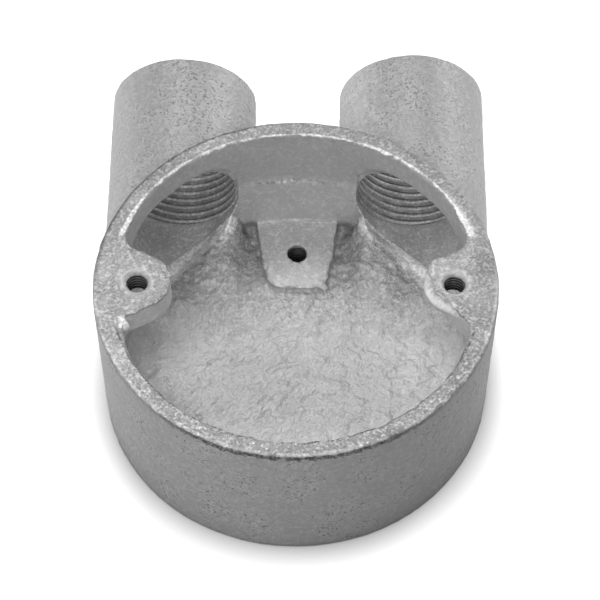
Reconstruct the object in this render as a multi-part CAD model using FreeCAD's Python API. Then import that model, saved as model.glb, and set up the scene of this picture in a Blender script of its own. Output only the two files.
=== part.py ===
import FreeCAD, Part
import math
import os

# Box body, in millimetres: the base lies on z = 0 and the open rim faces up
box_height = 29.5
rim_radius = 32.5
base_radius = 32.0
base_edge_chamfer = 0.2
rim_edge_chamfer = 0.35

# Cavity, round in front and behind and flattened where the lid lugs stand
cavity_rim_radius = 29.65
cavity_floor_radius = 28.9
cavity_side_half_width = 28.45
cavity_side_radius = 40.0
floor_height = 3.3
floor_corner_round = 4.0

# Conduit spouts, both pointing along +Y
spout_offset = 19.7
spout_axis_height = 15.0
spout_radius = 12.4
spout_end = 48.8
spout_end_chamfer = 0.3
bore_radius = 9.25
thread_end = 29.2
thread_lead_radius = 10.2
smooth_radius = 9.55
smooth_start = 8.0

# Cast mouth of each spout in the box wall
mouth_half_width = 9.55
mouth_top = 24.75
mouth_corner_round = 6.0
mouth_depth_radius = 30.3

# Lid screw lugs on the X axis, level with the rim
lug_centres = 50.8
lug_tip_radius = 5.4
lug_tip_thickness = 4.6
lug_root_thickness = 8.5
lug_flank_angle = 27.0
lug_root_radius = 30.8
lug_corner_round = 2.5
screw_drill_radius = 1.65
countersink_radius = 2.4

# Cast fill under the spout mouths: heights of its valley, ridges and outer part at stations along Y
fill_stations = (
    {"y": -2.0, "valley": 1.5, "ridge": 1.5, "outer": 1.0},
    {"y": 12.0, "valley": 4.3, "ridge": 4.4, "outer": 4.5},
    {"y": 18.0, "valley": 4.6, "ridge": 5.7, "outer": 5.4},
    {"y": 22.0, "valley": 4.6, "ridge": 7.0, "outer": 5.8},
    {"y": 25.0, "valley": 4.7, "ridge": 8.6, "outer": 6.3},
    {"y": 28.5, "valley": 5.0, "ridge": 12.0, "outer": 8.0},
    {"y": 32.0, "valley": 5.4, "ridge": 15.0, "outer": 10.0},
)
valley_half_width = 8.2
ridge_offset = 11.5
fill_outer_offset = 17.5
fill_bottom = 0.5
fill_half_width = 31.0
fill_edge_rise = 3.0
fill_limit_radius = 30.5

# Proud lower part of the back wall between the mouths, flatter than the wall itself
ledge_height = 18.4
web_half_width = 9.9
web_face_radius = 45.0
web_foot_y = 28.4
web_top_y = 28.8

# Earth pad on the floor between the spouts, rising a little towards the back
pad_top = 5.8
pad_rise = 1.3
pad_back = 29.0
pad_front = 15.2
pad_back_half_width = 7.45
pad_front_half_width = 5.5
pad_front_corner = 3.2
pad_edge_round = 0.5
earth_hole_y = 21.8


def vec(x, y, z):
    return FreeCAD.Vector(x, y, z)


def line(start, end):
    return Part.LineSegment(start, end).toShape()


def arc(start, middle, end):
    return Part.Arc(start, middle, end).toShape()


def prism(edges, direction):
    return Part.Face(Part.Wire(edges)).extrude(direction)


def polygon_prism(points, direction):
    loop = points + [points[0]]
    return prism([line(loop[i], loop[i + 1]) for i in range(len(points))], direction)


# Outer cup with slight draft and small breaks on the base edge and the rim
def outer_cup():
    cup = Part.makeCone(base_radius, rim_radius, box_height)
    base_edges = [edge for edge in cup.Edges if edge.BoundBox.ZMax < 0.01]
    cup = cup.makeChamfer(base_edge_chamfer, base_edges)
    rim_edges = [edge for edge in cup.Edges if edge.BoundBox.ZMin > box_height - 0.01]
    return cup.makeChamfer(rim_edge_chamfer, rim_edges)


# Round spout from the box axis out to its open end
def spout(side):
    start = vec(side * spout_offset, 0, spout_axis_height)
    barrel = Part.makeCylinder(spout_radius, spout_end, start, vec(0, 1, 0))
    end_edges = [edge for edge in barrel.Edges if edge.BoundBox.YMin > spout_end - 0.01]
    return barrel.makeChamfer(spout_end_chamfer, end_edges)


# Tapered round tool that flares by the edge break where it leaves the rim
def flared(foot_radius, top_radius, foot_height, centre):
    neck = box_height - rim_edge_chamfer
    foot = vec(centre.x, centre.y, foot_height)
    mouth_foot = vec(centre.x, centre.y, neck)
    if foot_radius == top_radius:
        barrel = Part.makeCylinder(top_radius, neck - foot_height, foot)
    else:
        barrel = Part.makeCone(foot_radius, top_radius, neck - foot_height, foot)
    flare = Part.makeCone(top_radius, top_radius + rim_edge_chamfer, rim_edge_chamfer, mouth_foot)
    return barrel.fuse(flare)


# Tapered cavity with flattened sides and a generous corner round above the floor
def cavity():
    hollow = flared(cavity_floor_radius, cavity_rim_radius, floor_height, vec(0, 0, 0))
    floor_edges = [edge for edge in hollow.Edges if edge.BoundBox.ZMax < floor_height + 0.01]
    hollow = hollow.makeFillet(floor_corner_round, floor_edges)
    for side in (-1, 1):
        centre = vec(side * (cavity_side_half_width - cavity_side_radius), 0, 0)
        hollow = hollow.common(flared(cavity_side_radius, cavity_side_radius, 0, centre))
    return hollow


# Cross section of the fill: flat below, with a spline over valley, ridges and outer parts
def fill_section(station):
    y = station["y"]
    right = [
        vec(valley_half_width, y, station["valley"]),
        vec(ridge_offset, y, station["ridge"]),
        vec(fill_outer_offset, y, station["outer"]),
        vec(fill_half_width, y, station["outer"] + fill_edge_rise),
    ]
    left = [vec(-point.x, y, point.z) for point in reversed(right)]
    spline = Part.BSplineCurve()
    spline.interpolate(left + [vec(0, y, station["valley"])] + right)
    low_right = vec(fill_half_width, y, fill_bottom)
    low_left = vec(-fill_half_width, y, fill_bottom)
    sides = [
        line(right[-1], low_right),
        line(low_right, low_left),
        line(low_left, left[0]),
    ]
    return Part.Wire([spline.toShape()] + sides)


# Rough metal that rises from the floor to the lower lips of the spout mouths
def side_slopes():
    sections = [fill_section(station) for station in fill_stations]
    fill = Part.makeLoft(sections, True, False)
    return fill.common(Part.makeCylinder(fill_limit_radius, box_height))


# Proud lower part of the back wall between the two mouths
def back_web():
    base = floor_height - 1
    height = ledge_height - base
    strip = Part.makeBox(2 * web_half_width, 6, height, vec(-web_half_width, 25, base))
    limit = Part.makeCylinder(fill_limit_radius, box_height)
    slant = (web_top_y - web_foot_y) / (ledge_height - pad_top)
    low_radius = web_face_radius - slant * (pad_top - base)
    top_radius = low_radius + slant * height
    centre = vec(0, web_foot_y - web_face_radius, base)
    face = Part.makeCone(low_radius, top_radius, height, centre)
    return strip.common(limit).cut(face)


# Space above the slanting top of the earth pad
def above_pad():
    slant = pad_rise / (pad_back - pad_front)
    start = pad_front - 5
    end = pad_back + 5
    points = [
        vec(-20, start, pad_top - 5 * slant),
        vec(-20, end, pad_top + pad_rise + 5 * slant),
        vec(-20, end, box_height),
        vec(-20, start, box_height),
    ]
    return polygon_prism(points, vec(40, 0, 0))


# Tongue shaped pad with rounded front corners and a softened top edge
def earth_pad():
    z = floor_height - 1
    back = pad_back_half_width
    front = pad_front_half_width
    corner = pad_front_corner
    bulge = corner * (1 - math.sqrt(0.5))
    shoulder = pad_front + corner
    right_corner = arc(
        vec(front, shoulder, z),
        vec(front - bulge, pad_front + bulge, z),
        vec(front - corner, pad_front, z),
    )
    left_corner = arc(
        vec(corner - front, pad_front, z),
        vec(bulge - front, pad_front + bulge, z),
        vec(-front, shoulder, z),
    )
    edges = [
        line(vec(-back, pad_back, z), vec(back, pad_back, z)),
        line(vec(back, pad_back, z), vec(front, shoulder, z)),
        right_corner,
        line(vec(front - corner, pad_front, z), vec(corner - front, pad_front, z)),
        left_corner,
        line(vec(-front, shoulder, z), vec(-back, pad_back, z)),
    ]
    pad = prism(edges, vec(0, 0, 2 * pad_top)).cut(above_pad())
    top_edges = [edge for edge in pad.Edges if edge.BoundBox.ZMin > pad_top - 0.01]
    top_edges = [edge for edge in top_edges if edge.BoundBox.YMin < pad_back - 0.01]
    return pad.makeFillet(pad_edge_round, top_edges)


# Start, middle and end of the round that fills an inside corner between two directions
def corner_round(corner, first, second, radius):
    half = first.getAngle(second) / 2
    reach = radius / math.tan(half)
    bisector = (first + second).normalize()
    middle = corner + bisector * (radius / math.sin(half) - radius)
    return corner + first * reach, middle, corner + second * reach


# Outline of a lid lug seen from above: a round tip about the screw hole, spreading to the wall
def lug_plan(side):
    angle = math.radians(lug_flank_angle)
    centre_x = lug_centres / 2
    wall_centre_x = cavity_side_half_width - cavity_side_radius
    tip_x = centre_x - lug_tip_radius
    touch_x = centre_x - lug_tip_radius * math.sin(angle)
    touch_y = lug_tip_radius * math.cos(angle)
    # The flank runs on until it is one wall radius from the centre of the flattened side
    along = (touch_x - wall_centre_x) * math.cos(angle) + touch_y * math.sin(angle)
    gap = cavity_side_radius ** 2 - (touch_x - wall_centre_x) ** 2 - touch_y ** 2
    run = math.sqrt(along ** 2 + gap) - along
    root_x = touch_x + run * math.cos(angle)
    root_y = touch_y + run * math.sin(angle)
    inward = vec(-math.cos(angle), -math.sin(angle), 0)
    along_wall = vec(-root_y, root_x - wall_centre_x, 0).normalize()
    flank, middle, wall = corner_round(vec(root_x, root_y, 0), inward, along_wall, lug_corner_round)

    def back(point):
        return vec(side * point.x, point.y, 0)

    def front(point):
        return vec(side * point.x, -point.y, 0)

    touch = vec(touch_x, touch_y, 0)
    outside = vec(lug_root_radius, wall.y, 0)
    edges = [
        line(back(outside), back(wall)),
        arc(back(wall), back(middle), back(flank)),
        line(back(flank), back(touch)),
        arc(back(touch), vec(side * tip_x, 0, 0), front(touch)),
        line(front(touch), front(flank)),
        arc(front(flank), front(middle), front(wall)),
        line(front(wall), front(outside)),
        line(front(outside), back(outside)),
    ]
    return prism(edges, vec(0, 0, box_height))


# Outline of a lid lug seen along Y: thin at the tip, deeper where it joins the wall
def lug_profile(side):
    tip_x = side * (lug_centres / 2 - lug_tip_radius - 1)
    hole_x = side * (lug_centres / 2 + screw_drill_radius)
    root_x = side * lug_root_radius
    tip_z = box_height - lug_tip_thickness
    points = [
        vec(tip_x, -20, box_height),
        vec(tip_x, -20, tip_z),
        vec(hole_x, -20, tip_z),
        vec(root_x, -20, box_height - lug_root_thickness),
        vec(root_x, -20, box_height),
    ]
    return polygon_prism(points, vec(0, 40, 0))


def lug(side):
    limit = Part.makeCylinder(lug_root_radius, box_height)
    return lug_plan(side).common(lug_profile(side)).common(limit)


# Screw hole through a lug, with its countersink
def lug_hole(side):
    x = side * lug_centres / 2
    drill = Part.makeCylinder(screw_drill_radius, 8, vec(x, 0, box_height - 7))
    depth = countersink_radius - screw_drill_radius
    sink = Part.makeCone(screw_drill_radius, countersink_radius, depth, vec(x, 0, box_height - depth))
    return drill.fuse(sink)


# Tapping size bore with a lead-in cone at the spout end and a slightly wider smooth part behind it
def bore(side):
    x = side * spout_offset
    along = vec(0, 1, 0)
    drill_start = vec(x, thread_end, spout_axis_height)
    drill = Part.makeCylinder(bore_radius, spout_end - thread_end, drill_start, along)
    smooth_centre = vec(x, smooth_start, spout_axis_height)
    smooth = Part.makeCylinder(smooth_radius, thread_end - smooth_start, smooth_centre, along)
    depth = thread_lead_radius - bore_radius
    lead_start = vec(x, spout_end - depth, spout_axis_height)
    lead = Part.makeCone(bore_radius, thread_lead_radius, depth, lead_start, along)
    return drill.fuse([smooth, lead])


# Flat topped mouth, cast slightly larger than the bore and only as deep as the wall face
def mouth(side):
    left = side * spout_offset - mouth_half_width
    right = side * spout_offset + mouth_half_width
    corner = mouth_corner_round
    bulge = corner * (1 - math.sqrt(0.5))
    axis_z = spout_axis_height
    top = mouth_top
    bottom = vec(side * spout_offset, 0, axis_z - mouth_half_width)
    left_corner = arc(
        vec(left, 0, top - corner),
        vec(left + bulge, 0, top - bulge),
        vec(left + corner, 0, top),
    )
    right_corner = arc(
        vec(right - corner, 0, top),
        vec(right - bulge, 0, top - bulge),
        vec(right, 0, top - corner),
    )
    edges = [
        line(vec(left, 0, axis_z), vec(left, 0, top - corner)),
        left_corner,
        line(vec(left + corner, 0, top), vec(right - corner, 0, top)),
        right_corner,
        line(vec(right, 0, top - corner), vec(right, 0, axis_z)),
        arc(vec(right, 0, axis_z), bottom, vec(left, 0, axis_z)),
    ]
    limit = Part.makeCylinder(mouth_depth_radius, box_height)
    return prism(edges, vec(0, 40, 0)).common(limit)


def earth_hole():
    return Part.makeCylinder(screw_drill_radius, pad_top + pad_rise + 2, vec(0, earth_hole_y, -1))


def box_casting():
    sides = (-1, 1)
    body = outer_cup().fuse([spout(side) for side in sides])
    body = body.cut(cavity())
    body = body.fuse([lug(side) for side in sides])
    body = body.fuse([side_slopes(), back_web(), earth_pad()])
    body = body.cut([mouth(side) for side in sides])
    body = body.cut([bore(side) for side in sides])
    body = body.cut([lug_hole(side) for side in sides])
    body = body.cut(earth_hole())
    return body.removeSplitter()


os.makedirs("parts", exist_ok=True)
casting = box_casting()
casting.exportStep("parts/box_casting.step")
print(casting.isValid(), len(casting.Solids), casting.Volume)
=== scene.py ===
"""The two-way conduit box as it looks: a rough galvanised casting with cut threads, on a pale floor."""
from collections import namedtuple
from math import cos, pi, radians, sin

import bmesh
import bpy
import numpy as np
from mathutils import Matrix, Vector


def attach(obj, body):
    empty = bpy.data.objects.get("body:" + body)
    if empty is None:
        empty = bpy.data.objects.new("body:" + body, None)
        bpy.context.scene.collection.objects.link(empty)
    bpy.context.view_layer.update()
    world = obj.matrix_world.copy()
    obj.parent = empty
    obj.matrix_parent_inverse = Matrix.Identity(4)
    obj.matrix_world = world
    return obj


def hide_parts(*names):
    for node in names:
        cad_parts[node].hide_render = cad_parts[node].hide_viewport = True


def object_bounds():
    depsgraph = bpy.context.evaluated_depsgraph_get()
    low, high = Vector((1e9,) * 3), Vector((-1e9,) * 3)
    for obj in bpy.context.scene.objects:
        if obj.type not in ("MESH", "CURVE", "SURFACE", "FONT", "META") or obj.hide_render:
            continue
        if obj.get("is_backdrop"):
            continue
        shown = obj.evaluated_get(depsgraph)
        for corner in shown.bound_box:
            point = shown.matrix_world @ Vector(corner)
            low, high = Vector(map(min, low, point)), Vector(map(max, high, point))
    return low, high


# Lengths are in millimetres until a mesh is finished, when it is scaled to metres
MM = 0.001

# Sizes of the casting, as in the part's source
rim_height = 29.5
lug_centre = 25.4
lug_underside = 24.9
spout_offset = 19.7
spout_axis_height = 15.0
spout_end = 48.8
earth_hole_y = 21.8
pad_top = 5.8
pad_front = 15.2

# A hollow at each back corner of the pad, given for the right side
pocket_place = (8.2, 27.2, 6.2)

# Faults of this one casting
left_spout_short = 1.1
ledge_sag = 1.1
lug_burr = [(-27.2, -7.7, 28.7), (-26.9, -8.2, 28.65)]
pad_drip = [(4.0, 16.2, 5.4), (4.9, 15.2, 5.0), (5.5, 14.1, 4.4)]
run_radius = 0.7
bead_spacing = 0.5 * run_radius
burr_centre = (-27.0, -8.0, 28.9)

# Threads, with the painted shade at the crest and in the groove: darker in the groove, and darkest down
# the lid and earth holes
Thread = namedtuple("Thread", "pitch crest root lead columns crest_tone root_tone")
conduit = Thread(pitch=1.5, crest=9.25, root=10.0, lead=0.9, columns=96, crest_tone=0.60, root_tone=0.33)
lid_screw = Thread(pitch=0.7, crest=1.62, root=2.0, lead=0.0, columns=48, crest_tone=0.20, root_tone=0.01)
earth_screw = lid_screw._replace(crest_tone=0.10, root_tone=0.005)
thread_start = 28.65
thread_end_gap = 0.15
lid_thread_bottom = lug_underside + 0.1
lid_thread_length = 3.7
earth_thread_bottom = 0.2
earth_thread_length = pad_top - 0.4
flank_start = 0.12
flank_end = 0.88
lead_clearance = 0.1
lead_margin = 0.01
sleeve_wall = 0.25
rows_per_turn = 10
right_thread_fill = 0.8
full_zinc_depth = 4.0
last_zinc_depth = 8.0

# The room cut for the thread sleeves
conduit_cut_radius = 10.15
conduit_cut_gap = 0.1
screw_cut_radius = 2.1
lid_cut_centre = lug_underside + 1.8

# The casting's mesh
merge_distance = 0.0005
cut_segments = 96
voxel_size = 0.25
triangle_limit = 195000
box_margin = 0.002

# The viewing angle found from the photo
camera_distance = 416.32
camera_elevation = radians(55.92)
camera_azimuth = radians(0.38)
camera_aside = 0.673
camera_below = 2.906
camera_lens = 156.26

# The stage, with its lengths in metres
floor_half = 3.0
lamp_size = 0.4
world_strength = 0.42


# Shares from 0 to 1

def rise(values, start, end):
    part = np.clip((values - start) / (end - start), 0, 1)
    return part * part * (3 - 2 * part)


def fall(values, start, end):
    return rise(-values, -end, -start)


def blend(values, target, share):
    return values + (target - values) * share


def layered(values, layers):
    for target, share in layers:
        values = blend(values, target, share)
    return values


# Noise in space, on a lattice turned so that its cells don't follow the walls

tilt = np.array(Matrix.Rotation(0.7, 3, Vector((0.3, 0.5, 0.8)).normalized()))


# The same value from -1 to 1 each time for a cell, by mixing its bits
def lattice_value(cells, seed):
    mixed = cells[:, 0] * 73856093 ^ cells[:, 1] * 19349663 ^ cells[:, 2] * 83492791 ^ seed * 40503
    mixed = (mixed ^ (mixed >> 13)) * 1274126177
    mixed = mixed ^ (mixed >> 16)
    return (mixed & 0xFFFF) / 32767.5 - 1.0


def noise(points, size, seed):
    scaled = points @ tilt / size
    cells = np.floor(scaled).astype(np.int64)
    part = scaled - cells
    part = part * part * part * (part * (part * 6 - 15) + 10)
    total = np.zeros(len(points))
    for corner in np.ndindex(2, 2, 2):
        near = np.where(np.array(corner) == 1, part, 1 - part)
        total += near.prod(axis=1) * lattice_value(cells + np.array(corner), seed)
    return total


# Noise drawn out into ripples that lean towards the middle on both sides
def ripples(points, size, seed):
    stretch = np.array([0.6, 1.0, 1.0])
    fields = []
    for angle in (radians(35), radians(-35)):
        turn = np.array(Matrix.Rotation(angle, 3, "Z"))
        fields.append(noise(points @ turn * stretch, size, seed))
    share = rise(points[:, 0], -2.0, 8.0)
    return fields[0] * (1 - share) + fields[1] * share


# Mesh tools

def add_object(name, data):
    made = bpy.data.objects.new(name, data)
    bpy.context.scene.collection.objects.link(made)
    return made


def mesh_from(vertices, faces, name):
    mesh = bpy.data.meshes.new(name)
    mesh.from_pydata(vertices, [], faces)
    mesh.update()
    return mesh


# Turns the piece's modifiers into its own mesh
def settle(piece):
    depsgraph = bpy.context.evaluated_depsgraph_get()
    mesh = bpy.data.meshes.new_from_object(piece.evaluated_get(depsgraph))
    piece.modifiers.clear()
    piece.data = mesh


def positions(mesh):
    flat = np.empty(len(mesh.vertices) * 3, np.float32)
    mesh.vertices.foreach_get("co", flat)
    return flat.reshape(-1, 3).astype(float)


def directions(mesh):
    flat = np.empty(len(mesh.vertices) * 3, np.float32)
    mesh.vertex_normals.foreach_get("vector", flat)
    return flat.reshape(-1, 3).astype(float)


def set_positions(mesh, points):
    mesh.vertices.foreach_set("co", points.astype(np.float32).ravel())
    mesh.update()


def set_mask(mesh, name, values):
    layer = mesh.attributes.new(name, "FLOAT", "POINT")
    layer.data.foreach_set("value", values.astype(np.float32))


def cylinder(name, radius, depth, place):
    mesh = bpy.data.meshes.new(name)
    shape = bmesh.new()
    bmesh.ops.create_cone(
        shape,
        cap_ends=True,
        segments=cut_segments,
        radius1=radius,
        radius2=radius,
        depth=depth,
        matrix=place,
    )
    shape.to_mesh(mesh)
    shape.free()
    return add_object(name, mesh)


# The casting

def casting_copy(node):
    mesh = node.data.copy()
    mesh.transform(Matrix.Scale(1 / MM, 4))
    shape = bmesh.new()
    shape.from_mesh(mesh)
    bmesh.ops.remove_doubles(shape, verts=shape.verts, dist=merge_distance)
    shape.to_mesh(mesh)
    shape.free()
    return add_object("casting", mesh)


def cut(piece, tool):
    modifier = piece.modifiers.new("cut", "BOOLEAN")
    modifier.operation = "DIFFERENCE"
    modifier.solver = "EXACT"
    modifier.object = tool
    settle(piece)
    bpy.data.objects.remove(tool)


def open_for_threads(piece):
    along = Matrix.Rotation(pi / 2, 4, "X")
    depth = spout_end - thread_start
    for side in (-1, 1):
        spout = Matrix.Translation((side * spout_offset, thread_start + depth / 2, spout_axis_height))
        cut(piece, cylinder("conduit_cut", conduit_cut_radius, depth - conduit_cut_gap, spout @ along))
        lug = Matrix.Translation((side * lug_centre, 0, lid_cut_centre))
        cut(piece, cylinder("screw_cut", screw_cut_radius, lid_thread_length, lug))
    earth = Matrix.Translation((0, earth_hole_y, pad_top / 2))
    cut(piece, cylinder("earth_cut", screw_cut_radius, earth_thread_length, earth))


def bead_run(shape, path):
    for start, end in zip(path, path[1:]):
        steps = int((Vector(end) - Vector(start)).length / bead_spacing) + 1
        for step in range(steps + 1):
            place = Matrix.Translation(Vector(start).lerp(Vector(end), step / steps))
            bmesh.ops.create_icosphere(shape, subdivisions=2, radius=run_radius, matrix=place)


# Small runs of metal left by the mould and the zinc bath
def add_runs(piece):
    shape = bmesh.new()
    shape.from_mesh(piece.data)
    bead_run(shape, lug_burr)
    bead_run(shape, pad_drip)
    shape.to_mesh(piece.data)
    shape.free()


def remesh(piece):
    modifier = piece.modifiers.new("remesh", "REMESH")
    modifier.mode = "VOXEL"
    modifier.voxel_size = voxel_size
    settle(piece)


class Places:
    """How far each point belongs to each part of the casting."""

    def __init__(self, points, normals):
        x, y, z = points.T
        aside = np.abs(x)
        reach = np.hypot(x, y)
        facing = normals[:, 0]
        up = normals[:, 2]
        from_spout = np.hypot(aside - spout_offset, z - spout_axis_height)
        from_hole = np.hypot(aside - lug_centre, y)

        # Inside the box
        inside = fall(reach, 30.1, 30.5) * fall(z, 29.1, 29.4) * rise(z, 1.0, 2.0)
        in_pad = fall(aside, 7.4, 7.9) * rise(y, pad_front - 0.4, pad_front)
        on_pad = rise(z, pad_top - 0.9, pad_top - 0.4) * fall(z, 7.4, 8.2) * rise(up, 0.5, 0.8)
        self.pad = in_pad * on_pad * inside
        in_spout = rise(y, 27.0, 29.0) * fall(from_spout, 10.4, 11.0)
        in_mouth = rise(y, 8.0, 10.0) * rise(reach, 29.4, 29.8) * fall(from_spout, 9.7, 9.85)
        self.bore = np.maximum(in_spout, in_mouth)
        facing_up = rise(up, 0.1, 0.45) * fall(z, 14.0, 17.0) * inside
        self.floor = facing_up * (1 - self.pad) * (1 - self.bore)
        self.slope = self.floor * rise(y, 5.0, 14.0)
        by_mouth = rise(y, 10.0, 13.0) * fall(from_spout, 10.5, 11.5)
        self.lip = self.floor * by_mouth * rise(reach, 26.2, 27.6)
        beside_pad = fall(np.abs(aside - 8.6), 1.0, 4.0) * rise(y, 13.0, 17.0)
        self.valley = self.slope * beside_pad
        pocket_x, pocket_y, pocket_z = pocket_place
        away = np.sqrt((aside - pocket_x) ** 2 + (y - pocket_y) ** 2 + (z - pocket_z) ** 2)
        self.pocket = fall(away, 0.6, 2.8) * (1 - self.pad) * fall(z, 6.4, 8.2)
        self.inner = inside * (1 - facing_up) * (1 - self.bore)
        self.web = self.inner * fall(aside, 9.8, 10.5) * rise(y, 24.0, 26.0) * fall(z, 18.0, 18.6)
        self.ledge = self.inner * rise(up, 0.3, 0.6) * rise(z, 15.4, 16.4) * fall(z, 19.0, 20.0)
        self.lug_side = self.inner * fall(from_hole, 7.5, 9.0) * rise(z, 24.0, 25.0)

        # The rim and lugs
        self.rim = rise(z, 29.0, 29.3) * rise(up, 0.4, 0.8)
        self.lug = self.rim * fall(reach, 29.0, 29.4)
        self.sink = fall(from_hole, 2.4, 2.6) * rise(z, 28.2, 28.6)
        sloping = rise(up, 0.2, 0.5) * fall(up, 0.9, 0.97)
        # The right lug's worn face is painted light, partly polished metal and partly a painted highlight
        worn_and_lit = right_lug_wear(points) * rise(z, 27.9, 28.2) * sloping
        burr_x, burr_y, burr_z = burr_centre
        from_burr = np.sqrt((x - burr_x) ** 2 + (y - burr_y) ** 2 + (z - burr_z) ** 2)
        self.chamfer = np.maximum(worn_and_lit, fall(from_burr, 0.9, 1.3))

        # The outside
        within = np.maximum(inside, self.bore)
        base = fall(z, 0.1, 0.3)
        self.outer = (1 - within) * (1 - self.rim) * (1 - base) * rise(reach, 30.4, 31.0)
        self.spout = self.outer * rise(y, 2.0, 22.0)
        self.flank = self.spout * rise(np.abs(facing), 0.1, 0.9)
        self.lit_flank = self.flank * rise(-facing, 0.1, 0.8) * rise(x, 5.0, 8.0)


# The height of the cast surface above the plain one
def cast_relief(points, places):
    slow = noise(points, size=6.0, seed=4)
    coarse = noise(points, size=2.6, seed=1)
    middle = ripples(points, size=1.3, seed=2)
    fine = ripples(points, size=0.75, seed=3)
    calm = 1 - 0.5 * fall(points[:, 1], -18.0, -6.0)
    lumps = 0.14 * slow + 0.15 * coarse + calm * (0.17 * middle + 0.11 * fine)
    grit = 0.20 * coarse + 0.18 * noise(points, size=1.1, seed=5) + 0.11 * noise(points, size=0.7, seed=6)
    skin = 0.05 * slow + 0.04 * middle + 0.03 * fine
    height = places.floor * lumps + places.slope * (1 - 0.6 * places.lip) * grit
    height += places.outer * skin
    height += places.inner * 0.5 * skin
    height += places.pad * 0.8 * skin
    height += places.rim * 0.5 * skin
    height -= places.pocket * 0.25
    return height


# The right lug is worn back on the side towards the front of the cavity
def right_lug_wear(points):
    x, y, z = points.T
    from_hole = np.hypot(x - lug_centre, y)
    angle = np.degrees(np.arctan2(y, x - lug_centre)) % 360
    where = rise(angle, 135, 170) * fall(angle, 255, 282) * fall(from_hole, 7.5, 9.5)
    return where * rise(z, 23.5, 24.4) * rise(from_hole, 2.6, 5.4)


def wear_right_lug(points):
    x, y, z = points.T
    from_hole = np.maximum(np.hypot(x - lug_centre, y), 1.0)
    slant = 0.5 + 1.2 * rise(z, 28.2, 29.5) + 1.6 * fall(z, 25.2, 28.2)
    shift = slant * right_lug_wear(points)
    points[:, 0] -= shift * (x - lug_centre) / from_hole
    points[:, 1] -= shift * y / from_hole


# The top of the proud lower back wall sags a little from its true height
def sink_ledge(points):
    x, y, z = points.T
    on_web = fall(np.abs(x), 9.5, 11.0) * rise(y, 25.5, 27.0) * fall(np.hypot(x, y), 30.2, 30.6)
    points[:, 2] -= ledge_sag * on_web * rise(z, 12.0, 18.4) * fall(z, 18.6, 23.5)


# The edges of the rim and lugs are ragged
def fray_rim(points):
    x, y, z = points.T
    from_hole = np.hypot(np.abs(x) - lug_centre, y)
    outward = rise(np.hypot(x, y), 30.8, 31.8)
    strength = (0.2 - 0.14 * outward) * rise(z, 28.5, 29.2) * rise(from_hole, 2.2, 3.2)
    for axis, seed in ((0, 11), (1, 13)):
        fray = noise(points, size=1.2, seed=seed) + 0.6 * noise(points, size=0.6, seed=seed + 1)
        points[:, axis] += strength * fray


def shorten_left_spout(points):
    start = 36
    end = 48
    x, y = points.T[:2]
    on_left = (x < 0) & (y > start)
    points[:, 1] -= np.where(on_left, left_spout_short * rise(y, start, end), 0)


# Smooth walls lose most of the triangles, so that the rough floor keeps its own
def thin(piece, places):
    piece.data.calc_loop_triangles()
    easy = piece.vertex_groups.new(name="easy")
    easy.add(np.flatnonzero(places.floor < 0.5).tolist(), 1.0, "REPLACE")
    modifier = piece.modifiers.new("thin", "DECIMATE")
    modifier.ratio = min(1.0, triangle_limit / len(piece.data.loop_triangles))
    modifier.vertex_group = "easy"
    settle(piece)
    piece.vertex_groups.clear()


def fit_in_box(mesh, low, high):
    lowest = np.array(low) / MM + box_margin
    highest = np.array(high) / MM - box_margin
    set_positions(mesh, np.clip(positions(mesh), lowest, highest))


# How light the zinc is, with each place laid over those before it; many of the levels are painted light
# and shade rather than the zinc's own tone
def brightness(points, places):
    x, y, z = points.T
    # Painted shade: the outside is kept darker than the inside, and darker still towards the front right
    shaded_front_right = rise(x, -10, 25) * fall(y, -8, 6)
    # Painted light on the floor, lighter near the side walls and towards the front
    lit_near_walls = np.maximum(0.5 * rise(np.abs(x), 8, 24), fall(y, -20, -5))
    # Painted light on the rim, lighter at the front left
    lit_left_front = fall(x, -20, 0) * fall(y, 2, 10)
    level = layered(0.28 - 0.10 * shaded_front_right, [
        (0.32, places.spout),
        # Painted sheen on the spouts' flanks, and a painted highlight on the right spout's left flank
        (0.41, places.flank),
        (0.50, places.lit_flank),
        # Painted light: the inside walls, web, lug sides and bores are kept lighter than the outside
        (0.46, places.inner),
        (0.55, places.web),
        (0.58, places.lug_side),
        # Painted shade darkens the top of the ledge
        (0.36, places.ledge),
        (0.54 + 0.13 * lit_near_walls, places.floor),
        (0.51, places.slope),
        # Painted shade in the valleys beside the pad, and a painted highlight on the lip band below the
        # mouths
        (0.45, places.valley),
        (0.92, places.lip),
        (0.59, places.pad),
        (0.64, places.bore),
        (0.28 + 0.06 * lit_left_front, places.rim),
        (0.32, places.lug),
        (0.55, places.sink),
        # The worn chamfer on the right lug is partly polished metal and partly a painted highlight; the
        # burr is light too
        (0.75, places.chamfer),
    ])
    # Painted shade in the hollows beside the back corners of the pad
    level = level * (1 - 0.5 * places.pocket)
    return level * (1 - 0.25 * places.outer * fall(z, 0.2, 1.2))


# How strongly the zinc is flecked
def fleck_strength(places):
    return layered(0.34, [
        (0.24, places.spout),
        (0.22, places.inner),
        (1.0, places.ledge),
        (0.16, places.floor),
        (0.50, places.slope),
        (0.40, places.bore),
        (0.85, places.rim),
        (0.20, places.sink),
    ])


# How deep the fine bumps are
def bump_strength(places):
    return layered(0.45, [
        (0.2, places.inner),
        (0.70, places.floor),
        (0.95, places.slope),
        (0.3, places.bore),
        (0.6, places.pad),
        (0.6, places.rim),
    ])


def store_masks(mesh):
    points = positions(mesh)
    places = Places(points, directions(mesh))
    set_mask(mesh, "rough", bump_strength(places))
    set_mask(mesh, "level", brightness(points, places))
    set_mask(mesh, "grain", fleck_strength(places))
    set_mask(mesh, "rim", places.rim)
    set_mask(mesh, "outer", places.outer * (1 - 0.4 * places.spout))


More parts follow.
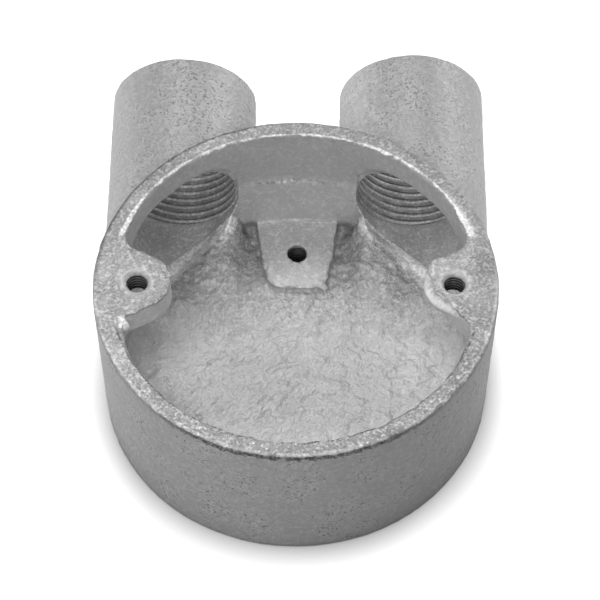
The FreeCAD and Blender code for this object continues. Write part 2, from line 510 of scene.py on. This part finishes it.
def casting(node, low, high):
    piece = casting_copy(node)
    open_for_threads(piece)
    add_runs(piece)
    remesh(piece)
    points = positions(piece.data)
    wear_right_lug(points)
    sink_ledge(points)
    set_positions(piece.data, points)
    normals = directions(piece.data)
    places = Places(points, normals)
    points += normals * cast_relief(points, places)[:, None]
    fray_rim(points)
    shorten_left_spout(points)
    set_positions(piece.data, points)
    thin(piece, places)
    fit_in_box(piece.data, low, high)
    store_masks(piece.data)
    return piece


# The screw threads

def thread_radius(turns, thread):
    part = np.abs((turns % 1.0) - 0.5) * 2
    return thread.root + (thread.crest - thread.root) * rise(part, flank_start, flank_end)


# A thin tube with the thread on its inside, where zinc can fill part of one side near the start
def thread_sleeve(name, thread, length, filled=0.0):
    depth = thread.root - thread.crest
    rows = int(round(length / thread.pitch * rows_per_turn)) + 1
    angle = np.linspace(0, 2 * pi, thread.columns, endpoint=False)
    height = np.linspace(0, length, rows)
    across, up = np.meshgrid(angle, height)
    inner = thread_radius(up / thread.pitch - across / (2 * pi), thread)
    opened = rise(up, length - thread.lead, length + lead_margin)
    widened = thread.crest + (thread.root + lead_clearance - thread.crest) * opened
    inner = np.maximum(inner, widened)
    on_left_side = rise(-np.cos(across), 0.1, 0.8)
    in_zinc = filled * on_left_side * fall(up, full_zinc_depth, last_zinc_depth)
    inner = blend(inner, thread.crest + 0.15 * depth, in_zinc)
    outer = np.full_like(inner, thread.root + sleeve_wall)
    grids = []
    for radius in (inner, outer):
        grids.append(np.stack([radius * np.cos(across), radius * np.sin(across), up], 2).reshape(-1, 3))
    mesh = mesh_from(np.concatenate(grids).tolist(), sleeve_faces(rows, thread.columns), name)
    radii = np.concatenate([inner.ravel(), outer.ravel()])
    in_groove = rise(radii, thread.crest, thread.crest + 0.3 * depth)
    # Painted shade, darker in the groove
    set_mask(mesh, "level", blend(thread.crest_tone, thread.root_tone, in_groove))
    set_mask(mesh, "grain", np.full(len(radii), 0.6))
    set_mask(mesh, "rough", np.full(len(radii), 0.4))
    return mesh


def sleeve_faces(rows, columns):
    faces = []
    shift = rows * columns
    for row in range(rows - 1):
        for column in range(columns):
            beside = (column + 1) % columns
            a = row * columns + column
            b = row * columns + beside
            c = b + columns
            d = a + columns
            faces.append((a, d, c, b))
            faces.append((a + shift, b + shift, c + shift, d + shift))
    top = (rows - 1) * columns
    for column in range(columns):
        beside = (column + 1) % columns
        faces.append((column, beside, beside + shift, column + shift))
        faces.append((top + beside, top + column, top + column + shift, top + beside + shift))
    return faces


def conduit_thread(name, side, shorter, filled):
    length = spout_end - thread_end_gap - thread_start - shorter
    mesh = thread_sleeve(name, conduit, length, filled)
    along = Matrix.Rotation(-pi / 2, 4, "X")
    mesh.transform(Matrix.Translation((side * spout_offset, thread_start, spout_axis_height)) @ along)
    return add_object(name, mesh)


def lid_thread(name, side):
    mesh = thread_sleeve(name, lid_screw, lid_thread_length)
    mesh.transform(Matrix.Translation((side * lug_centre, 0, lid_thread_bottom)))
    return add_object(name, mesh)


def earth_thread(name):
    mesh = thread_sleeve(name, earth_screw, earth_thread_length)
    mesh.transform(Matrix.Translation((0, earth_hole_y, earth_thread_bottom)))
    return add_object(name, mesh)


def threads():
    return [
        conduit_thread("left_conduit_thread", -1, left_spout_short, 0.0),
        conduit_thread("right_conduit_thread", 1, 0.0, right_thread_fill),
        lid_thread("left_lid_thread", -1),
        lid_thread("right_lid_thread", 1),
        earth_thread("earth_thread"),
    ]


# Materials

class Nodes:
    """Short names for building one material's nodes."""

    def __init__(self, tree):
        self.tree = tree

    def add(self, kind, **settings):
        node = self.tree.nodes.new(kind)
        for key, value in settings.items():
            setattr(node, key, value)
        return node

    def link(self, source, target):
        self.tree.links.new(source, target)

    def math(self, operation, *values):
        node = self.add("ShaderNodeMath", operation=operation)
        for socket, value in zip(node.inputs, values):
            if isinstance(value, float):
                socket.default_value = value
            else:
                self.link(value, socket)
        return node.outputs[0]

    def chain(self, operation, values):
        total = values[0]
        for value in values[1:]:
            total = self.math(operation, total, value)
        return total

    def total(self, *values):
        return self.chain("ADD", values)

    def product(self, *values):
        return self.chain("MULTIPLY", values)

    def largest(self, *values):
        return self.chain("MAXIMUM", values)

    # Maps the values from start to end, and holds them beyond
    def spread(self, value, start, end, to_start, to_end):
        node = self.add("ShaderNodeMapRange")
        self.link(value, node.inputs["Value"])
        node.inputs["From Min"].default_value = start
        node.inputs["From Max"].default_value = end
        node.inputs["To Min"].default_value = to_start
        node.inputs["To Max"].default_value = to_end
        return node.outputs["Result"]

    # The same for a length, with start and end in millimetres
    def across(self, length, start, end, to_start, to_end):
        return self.spread(length, start * MM, end * MM, to_start, to_end)

    def between(self, length, rise_from, rise_to, fall_from, fall_to):
        rising = self.across(length, rise_from, rise_to, 0.0, 1.0)
        falling = self.across(length, fall_from, fall_to, 1.0, 0.0)
        return self.product(rising, falling)

    def noise(self, place, size, detail):
        node = self.add("ShaderNodeTexNoise")
        self.link(place, node.inputs["Vector"])
        node.inputs["Scale"].default_value = 1 / (size * MM)
        node.inputs["Detail"].default_value = detail
        return node.outputs["Fac"]

    def mask(self, name):
        return self.add("ShaderNodeAttribute", attribute_name=name).outputs["Fac"]


def new_material(name):
    material = bpy.data.materials.new(name)
    material.use_nodes = True
    return material, material.node_tree.nodes["Principled BSDF"], Nodes(material.node_tree)


class RimEdges:
    """Bright rubbed metal with painted highlights and glints, and painted shade and dark lines, along the
    edges of the rim.
    """

    def __init__(self, n, place, outer):
        self.n = n
        self.place = place
        self.outer = outer
        self.rim = n.mask("rim")
        parts = n.add("ShaderNodeSeparateXYZ")
        n.link(place, parts.inputs[0])
        self.x = parts.outputs["X"]
        self.y = parts.outputs["Y"]
        self.z = parts.outputs["Z"]
        flat = n.add("ShaderNodeCombineXYZ")
        n.link(self.x, flat.inputs["X"])
        n.link(self.y, flat.inputs["Y"])
        distance = n.add("ShaderNodeVectorMath", operation="LENGTH")
        n.link(flat.outputs[0], distance.inputs[0])
        self.reach = distance.outputs["Value"]
        self.aside = n.math("ABSOLUTE", self.x)
        self.broken = n.noise(place, size=1.6, detail=4.0)
        self.clear_of_lugs = n.across(n.math("ABSOLUTE", self.y), 8.4, 9.4, 0.0, 1.0)
        self.front = n.across(self.y, -5, 5, 1.0, 0.0)
        self.on_outer_edge = n.between(self.reach, 31.7, 32.1, 32.5, 32.7)

    # A bright line round the back of the cavity, partly worn metal and partly painted highlight, wider at
    # the sides and widest behind the right lug
    def inner_wear_and_highlight(self):
        n = self.n
        behind = n.across(self.y, -5, 15, 0.0, 1.3)
        unbroken = n.spread(self.broken, 0.20, 0.28, 0.0, 1.2)
        thin_line = n.product(n.between(self.reach, 29.3, 29.4, 29.85, 30.05), unbroken)
        at_sides = n.across(self.aside, 8, 14, 0.0, 1.0)
        side_line = n.product(n.between(self.reach, 29.3, 29.4, 30.0, 30.25), unbroken, at_sides)
        on_right = n.across(self.x, 18, 20, 0.0, 1.0)
        near_lug = n.between(self.y, 8.0, 9.0, 11.0, 19.0)
        wide_line = n.product(n.between(self.reach, 29.3, 29.45, 30.2, 30.9), on_right, near_lug)
        return n.product(n.largest(thin_line, side_line, wide_line), self.clear_of_lugs, behind)

    # Broken wear with painted highlights on the front edge, and painted glints as bright specks on the
    # front of the rim
    def front_wear_and_glints(self):
        n = self.n
        edge = n.product(self.on_outer_edge, n.spread(self.broken, 0.60, 0.48, 0.0, 0.7))
        sparkle = n.spread(n.noise(self.place, size=0.6, detail=3.0), 0.57, 0.63, 0.0, 0.7)
        far_front = n.across(self.y, -16, -6, 1.0, 0.2)
        return n.product(n.total(edge, n.product(sparkle, far_front)), self.front)

    def wear_and_highlights(self):
        return self.n.product(self.n.total(self.inner_wear_and_highlight(), self.front_wear_and_glints()), self.rim)

    # A ragged band of painted shade on the wall under the rim's edge, strongest at the front and back
    def painted_shade_under_rim(self):
        n = self.n
        jagged = n.noise(self.place, size=0.7, detail=3.0)
        height = n.total(self.z, n.spread(jagged, 0.3, 0.7, -0.5 * MM, 0.5 * MM))
        in_middle = n.across(self.aside, 14, 25, 1.0, 0.2)
        dots = n.spread(n.noise(self.place, size=0.4, detail=2.0), 0.36, 0.52, 0.35, 1.0)
        return n.product(n.between(height, 28.1, 28.35, 29.2, 29.5), self.outer, in_middle, dots)

    # Dark lines on the outer edge at the back left and on the inner edge at the front
    def dark_lines_on_rim(self):
        n = self.n
        at_back = n.math("SUBTRACT", 1.0, self.front)
        on_left = n.across(self.x, -8, 2, 0.6, 0.0)
        back_line = n.product(self.on_outer_edge, self.rim, at_back, on_left)
        inner_line = n.between(self.reach, 29.5, 29.65, 29.85, 30.0)
        faint = n.spread(self.broken, 0.4, 0.6, 0.85, 0.3)
        front_line = n.product(inner_line, self.rim, self.front, self.clear_of_lugs, faint)
        return n.total(back_line, front_line)

    # Painted shade under the rim and dark lines on the rim, in patches
    def shade_and_dark_lines(self):
        n = self.n
        patchy = n.spread(n.noise(self.place, size=3.0, detail=5.0), 0.24, 0.36, 0.0, 1.0)
        return n.product(n.total(self.painted_shade_under_rim(), self.dark_lines_on_rim()), patchy)


def zinc():
    material, shader, n = new_material("galvanised zinc")
    place = n.add("ShaderNodeTexCoord").outputs["Object"]
    outer = n.mask("outer")
    grain = n.mask("grain")
    cloud = n.noise(place, size=6.0, detail=4.0)
    mottle = n.noise(place, size=1.3, detail=5.0)
    gravel = n.noise(place, size=0.8, detail=2.0)
    specks = n.noise(place, size=0.4, detail=3.0)

    patches = n.product(n.spread(cloud, 0.3, 0.7, -0.2, 0.2), n.total(grain, 0.1))
    flecks = n.total(n.spread(gravel, 0.50, 0.66, -0.1, 0.5), n.spread(specks, 0.3, 0.7, -0.35, 0.35))
    tone = n.total(n.spread(mottle, 0.3, 0.7, 0.95, 1.05), patches, n.product(flecks, grain))
    pitted = n.spread(cloud, 0.45, 0.56, 0.15, 1.0)
    pits = n.product(n.spread(n.noise(place, size=0.45, detail=2.0), 0.60, 0.64, 0.0, 1.0), pitted, outer)
    edges = RimEdges(n, place, outer)
    dark_pits = n.spread(pits, 0.0, 1.0, 1.0, 0.40)
    # Painted shade under the rim and dark lines on its edges darken the colour
    dark_shade_and_lines = n.spread(edges.shade_and_dark_lines(), 0.0, 1.0, 1.0, 0.08)
    # Worn metal with painted highlights and glints lightens the rim's edges
    bright_wear_and_highlights = n.product(edges.wear_and_highlights(), n.spread(specks, 0.35, 0.65, 0.24, 0.44))
    bright = n.total(n.product(n.mask("level"), tone, dark_pits, dark_shade_and_lines), bright_wear_and_highlights)
    colour = n.add("ShaderNodeCombineColor")
    for channel in ("Red", "Green", "Blue"):
        n.link(bright, colour.inputs[channel])
    n.link(colour.outputs["Color"], shader.inputs["Base Color"])
    n.link(n.spread(specks, 0.3, 0.7, 0.40, 0.60), shader.inputs["Roughness"])
    shader.inputs["Metallic"].default_value = 0.3

    bumps = n.product(n.total(gravel, n.product(specks, 0.5)), n.mask("rough"))
    bump = n.add("ShaderNodeBump")
    bump.inputs["Distance"].default_value = 0.4 * MM
    bump.inputs["Strength"].default_value = 0.7
    n.link(n.math("SUBTRACT", bumps, n.product(pits, 0.5)), bump.inputs["Height"])
    n.link(bump.outputs["Normal"], shader.inputs["Normal"])
    return material


# The floor is white to the eye and in reflections, with a painted shadow where the object stands close,
# where its glow is dimmed
def floor_material():
    material, shader, n = new_material("pale floor")
    shader.inputs["Base Color"].default_value = (0.4, 0.4, 0.4, 1)
    shader.inputs["Roughness"].default_value = 0.9
    shader.inputs["Specular IOR Level"].default_value = 0.1
    shader.inputs["Emission Color"].default_value = (1, 1, 1, 1)
    path = n.add("ShaderNodeLightPath")
    rays = ("Is Camera Ray", "Is Glossy Ray", "Is Transmission Ray")
    seen = n.largest(*[path.outputs[ray] for ray in rays])
    open_sky = n.add("ShaderNodeAmbientOcclusion")
    open_sky.inputs["Distance"].default_value = 7 * MM
    # Painted shadow: the glow dims where the object stands close
    glow = n.spread(open_sky.outputs["AO"], 0.4, 0.92, 0.1, 0.9)
    n.link(n.product(seen, glow), shader.inputs["Emission Strength"])
    return material


# The stage

def floor():
    half = floor_half
    corners = [(-half, -half, 0), (half, -half, 0), (half, half, 0), (-half, half, 0)]
    made = add_object("floor", mesh_from(corners, [(0, 1, 2, 3)], "floor"))
    made.data.materials.append(floor_material())
    made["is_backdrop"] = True


def surroundings():
    world = bpy.data.worlds.new("studio")
    bpy.context.scene.world = world
    world.use_nodes = True
    background = world.node_tree.nodes["Background"]
    background.inputs["Color"].default_value = (1, 1, 1, 1)
    background.inputs["Strength"].default_value = world_strength


def look_along(made, direction):
    made.rotation_mode = "QUATERNION"
    made.rotation_quaternion = direction.to_track_quat("-Z", "Y")


def lamp(name, place, power):
    data = bpy.data.lights.new(name, "AREA")
    data.shape = "DISK"
    data.size = lamp_size
    data.energy = power
    made = add_object(name, data)
    made.location = place
    look_along(made, -Vector(place))


# Places in metres and power in watts
def lamps():
    lamp("key", (-0.1, 0.5, 1.0), 4.8)
    lamp("left", (-0.9, 0.1, 0.5), 2.3)
    lamp("right", (0.75, 0.8, 0.45), 3.8)
    lamp("front", (-0.1, -0.8, 0.7), 3.4)


def camera():
    back = Vector((
        sin(camera_azimuth) * cos(camera_elevation),
        -cos(camera_azimuth) * cos(camera_elevation),
        sin(camera_elevation),
    ))
    right = Vector((0, 0, 1)).cross(back).normalized()
    up = back.cross(right)
    centre = Vector((0, 0, rim_height))
    place = centre + back * camera_distance + right * camera_aside - up * camera_below
    data = bpy.data.cameras.new("camera")
    data.sensor_width = 36
    data.lens = camera_lens
    data.clip_start = 0.01
    made = add_object("camera", data)
    made.location = place * MM
    look_along(made, -back)
    bpy.context.scene.camera = made


def dress(piece, material):
    piece.data.transform(Matrix.Scale(MM, 4))
    piece.data.materials.clear()
    piece.data.materials.append(material)
    piece.data.shade_smooth()
    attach(piece, "root")
    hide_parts("box_casting")


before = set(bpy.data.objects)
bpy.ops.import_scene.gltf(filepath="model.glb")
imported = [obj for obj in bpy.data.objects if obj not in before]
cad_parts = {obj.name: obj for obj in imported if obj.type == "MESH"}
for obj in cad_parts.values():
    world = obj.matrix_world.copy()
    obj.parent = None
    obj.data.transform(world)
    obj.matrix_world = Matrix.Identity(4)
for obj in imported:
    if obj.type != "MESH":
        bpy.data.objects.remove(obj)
cad_low, cad_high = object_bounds()
surface = zinc()
dress(casting(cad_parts["box_casting"], cad_low, cad_high), surface)
for thread in threads():
    dress(thread, surface)
floor()
surroundings()
lamps()
camera()
bpy.context.scene.view_settings.view_transform = "Standard"
